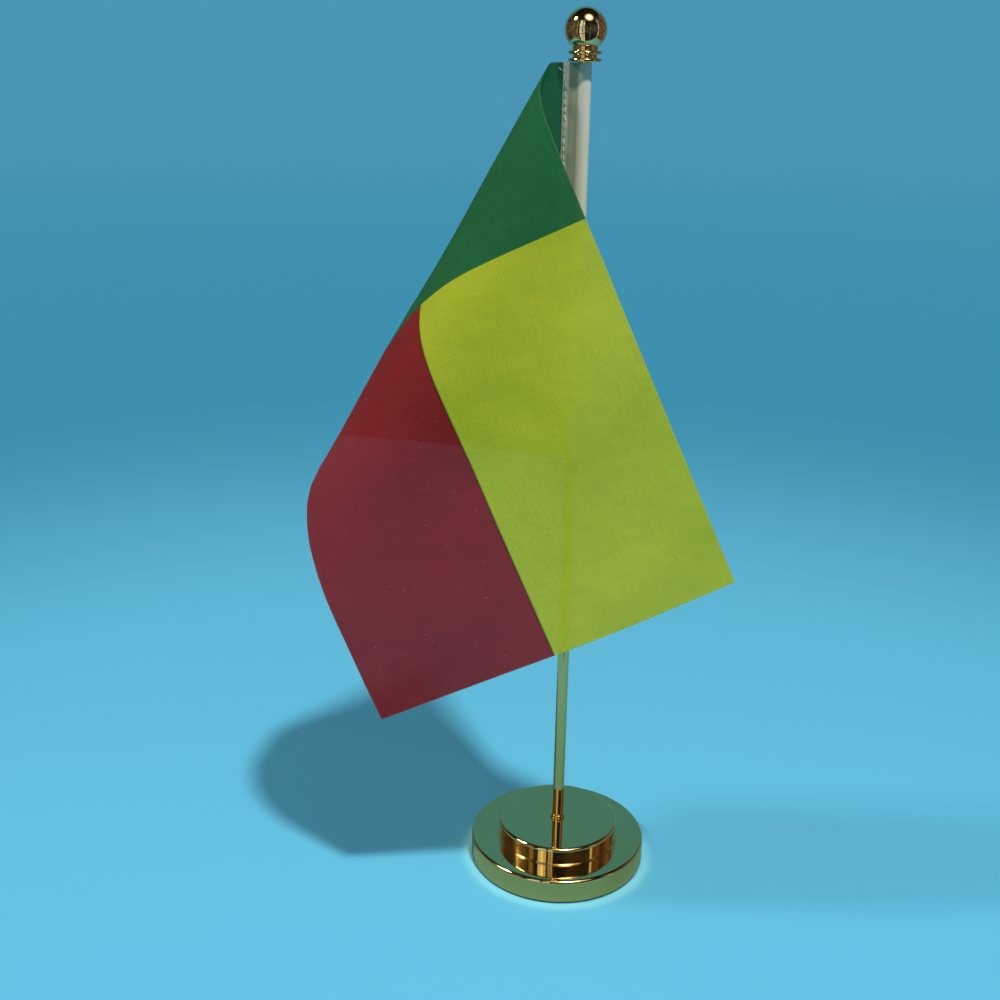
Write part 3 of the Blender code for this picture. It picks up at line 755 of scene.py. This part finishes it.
def make_floor():
    """A wide pale-blue paper. Away from the object it turns into an evenly lit backdrop. In polished metal it
    ends a little in front of the object and beside it, where the dark room starts. A bright ring round the
    base's foot stands for the light that the base throws back."""
    data = bpy.data.meshes.new("floor")
    corners = [(-FLOOR_HALF, -FLOOR_HALF, 0), (FLOOR_HALF, -FLOOR_HALF, 0), (FLOOR_HALF, FLOOR_HALF, 0),
               (-FLOOR_HALF, FLOOR_HALF, 0)]
    data.from_pydata(corners, [], [(0, 1, 2, 3)])
    floor = placed("floor", data)
    floor.location.z = -FLOOR_DROP
    material, nodes, place = new_material("paper")
    distance = nodes.length(place)
    axes = nodes.add("SeparateXYZ", {0: place})
    side, depth = axes.outputs[0], axes.outputs[1]
    fibre = nodes.noise(place, 700.0, 4.0)
    bump = nodes.add("Bump", {"Strength": 0.05, "Distance": 0.0002, "Height": fibre}).outputs[0]
    glossy = nodes.add("LightPath").outputs["Is Glossy Ray"]
    off_base = nodes.scale(distance, 0.06, 0.16, 0.0, 1.0)
    in_metal = nodes.mix(off_base, NEAR_PAPER_IN_METAL, FAR_PAPER_IN_METAL)
    paper = nodes.add("BsdfPrincipled", {"Base Color": nodes.mix(glossy, PAPER, in_metal), "Roughness": 0.75,
                                         "Specular IOR Level": 0.2, "Normal": bump})
    far = nodes.smooth(distance, *BACKDROP_BRIGHTENS)
    backdrop = nodes.add("Emission", {"Color": nodes.mix(far, BACKDROP_DARK, BACKDROP)})
    away = nodes.smooth(distance, *PAPER_ENDS)
    ground = nodes.add("MixShader", {"Fac": away, 1: paper.outputs[0], 2: backdrop.outputs[0]})
    ring = nodes.smooth(distance, *RING_GROWS)
    facing = nodes.scale(depth, 0.030, -0.020, 0.10, 0.75)
    outside = nodes.scale(distance, BASE_RADIUS - 0.0002, BASE_RADIUS + 0.0005, 0.0, 1.0)
    not_mirrored = nodes.maths("SUBTRACT", 1.0, glossy)
    strength = nodes.maths("MULTIPLY", ring, facing)
    strength = nodes.maths("MULTIPLY", strength, nodes.maths("MULTIPLY", outside, not_mirrored))
    halo = nodes.add("Emission", {"Color": RING_LIGHT, "Strength": strength})
    lit = nodes.add("AddShader", {0: ground.outputs[0], 1: halo.outputs[0]})
    room = nodes.add("BsdfTransparent")
    in_front = nodes.scale(depth, -0.17, -0.20, 0.0, 1.0)
    beside = nodes.scale(nodes.maths("ABSOLUTE", side), 0.40, 0.50, 0.0, 1.0)
    off_paper = nodes.maths("MAXIMUM", in_front, beside)
    mirrored = nodes.maths("MULTIPLY", off_paper, glossy)
    shown = nodes.add("MixShader", {"Fac": mirrored, 1: lit.outputs[0], 2: room.outputs[0]})
    nodes.add("OutputMaterial", {"Surface": shown.outputs[0]})
    data.materials.append(material)


KEY_PLACE = (0.28, -0.55, 1.50)
FILL_PLACE = (-1.05, -0.15, 1.35)
BALL_CENTRE = Vector((0.0, 0.0, 0.324))    # the lamps' directions are taken from here

# The lamps as polished metal sees them: the lamp, the cosines of the angles at which its glow starts and is
# full, and its colour.
GLOWS = ((KEY_PLACE, 0.930, 0.978, (1.35, 1.28, 0.95, 1.0)),
         (KEY_PLACE, 0.985, 0.994, (11.0, 11.0, 10.0, 1.0)),
         (FILL_PLACE, 0.990, 0.996, (11.0, 11.0, 10.0, 1.0)))

# What polished metal sees of the room: a bearing from the front, to the right, and the colour up to it.
ROOM = ((-125, (0.10, 0.09, 0.075)), (-95, (0.045, 0.042, 0.035)), (-74, (0.09, 0.08, 0.06)),
        (-64, (0.13, 0.12, 0.09)), (-56, (0.05, 0.045, 0.035)), (-46, (0.19, 0.19, 0.15)),
        (-36, (0.03, 0.03, 0.028)), (-20, (0.80, 0.92, 1.00)), (-16, (0.10, 0.09, 0.07)),
        (-8, (0.72, 0.84, 0.90)), (20, (0.012, 0.014, 0.020)), (27, (0.06, 0.055, 0.05)),
        (68, (0.014, 0.018, 0.024)), (72, (0.55, 0.65, 0.62)), (84, (0.09, 0.08, 0.065)),
        (89, (0.20, 0.055, 0.045)), (112, (0.08, 0.07, 0.055)), (117, (0.16, 0.055, 0.045)),
        (125, (0.13, 0.125, 0.09)))


def make_world():
    """A dim even light for the object, and the blue backdrop behind it. Polished metal sees the backdrop only
    behind the object and not high up, and a dark room in strips everywhere else, with a glow at each lamp."""
    world = bpy.data.worlds.new("studio")
    bpy.context.scene.world = world
    world.use_nodes = True
    nodes = Nodes(world.node_tree)
    direction = nodes.add("TexCoord").outputs["Generated"]
    axes = nodes.add("SeparateXYZ", {0: direction})
    side, depth, height = axes.outputs[0], axes.outputs[1], axes.outputs[2]
    bearing = nodes.maths("ARCTAN2", side, nodes.maths("MULTIPLY", depth, -1.0))
    turn = nodes.scale(bearing, -math.pi, math.pi, 0.0, 1.0)
    ramp = nodes.add("ValToRGB", {0: turn})
    ramp.color_ramp.interpolation = "CONSTANT"
    stops = ramp.color_ramp.elements
    stops.remove(stops[1])
    previous = -180
    for edge, tint in ROOM:
        stop = stops[0] if previous == -180 else stops.new((previous + 180) / 360)
        stop.color = colour(*tint)
        previous = edge
    stops.new((previous + 180) / 360).color = colour(*ROOM[0][1])
    high = nodes.scale(height, 0.62, 0.75, 0.0, 1.0)
    strips = nodes.mix(high, ramp.outputs["Color"], ROOM_DARK)
    low = nodes.scale(nodes.maths("ABSOLUTE", height), 0.42, 0.20, 0.0, 0.30)
    strips = nodes.mix(low, strips, ROOM_LOW)
    clutter = nodes.scale(nodes.noise(direction, 7.0, 3.0, 0.6), 0.35, 0.65, 0.25, 1.45)
    strips = nodes.add("VectorMath", {0: strips, "Scale": clutter}, operation="SCALE").outputs[0]
    off_front = nodes.maths("ABSOLUTE", bearing)
    behind = nodes.maths("MULTIPLY", nodes.scale(off_front, math.radians(136), math.radians(142), 0.0, 1.0),
                         nodes.scale(height, 0.72, 0.66, 0.0, 1.0))
    room = nodes.mix(behind, strips, BACKDROP_IN_METAL)
    for lamp, edge, core, tint in GLOWS:
        towards = nodes.add("VectorMath", {0: direction, 1: (Vector(lamp) - BALL_CENTRE).normalized()},
                            operation="DOT_PRODUCT").outputs["Value"]
        glow = nodes.scale(towards, edge, core, 0.0, 1.0)
        room = nodes.mix(glow, room, tint)
    path = nodes.add("LightPath")
    shown = nodes.mix(path.outputs["Is Camera Ray"], ROOM_LIGHT, BACKDROP)
    shown = nodes.mix(path.outputs["Is Glossy Ray"], shown, room)
    background = nodes.add("Background", {"Color": shown, "Strength": 1.0})
    nodes.add("OutputWorld", {"Surface": background.outputs[0]})


def make_lamp(name, position, target, power, size, tint):
    data = bpy.data.lights.new(name, "AREA")
    data.shape = "DISK"
    data.size = size
    data.energy = power
    data.color = tint
    lamp = placed(name, data)
    lamp.location = position
    lamp.rotation_euler = (Vector(target) - Vector(position)).to_track_quat("-Z", "Y").to_euler()


# ---------------------------------------------------------------- build

make_camera()
bpy.context.scene.view_settings.view_transform = "Standard"

gold_disc = gold_material("gold_disc", colour(0.93, 0.69, 0.32), (1.0, 1.0, 1.0), 0.012)
gold_rod = gold_material("gold_rod", colour(0.93, 0.69, 0.32), (1.0, 1.0, 0.08), 0.012)
gold_ball = gold_material("gold_ball", colour(0.93, 0.70, 0.36), (1.0, 1.0, 0.3), 0.003)
cast_iron = metal_material("cast_iron", colour(0.10, 0.10, 0.10), colour(0.20, 0.195, 0.19), (1.0, 1.0, 1.0),
                           0.55, 0.85, 0.6)
zinc_steel = metal_material("zinc_steel", colour(0.50, 0.51, 0.53), colour(0.63, 0.64, 0.66), (1.0, 1.0, 6.0),
                            0.28, 0.48, 0.25)
turned_brass = metal_material("turned_brass", colour(0.70, 0.52, 0.24), colour(0.80, 0.62, 0.30),
                              (0.2, 0.2, 8.0), 0.22, 0.42, 0.3)
foam = foam_material()
printed_satin = flag_material()
cream_satin = ribbon_material()
white_thread = thread_material()

for material, hidden in ((cast_iron, ("ballast_disc", "upper_tier_filler")),
                         (zinc_steel, ("centre_bolt", "flat_washer", "spring_washer", "finial_stud")),
                         (turned_brass, ("foot_insert", "top_insert"))):
    for node in hidden:
        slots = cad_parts[node].data.materials
        slots.clear()
        slots.append(material)

make_base()
make_pole()
make_collar()
make_ball()
make_pocket()
make_cloth()
make_stitches()
make_tie()

make_floor()
make_world()
make_lamp("key", KEY_PLACE, (0.0, 0.0, 0.10), 18.6, 0.11, (1.0, 0.98, 0.95))
make_lamp("fill", FILL_PLACE, (0.0, 0.0, 0.10), 7.0, 0.20, (1.0, 0.99, 0.97))
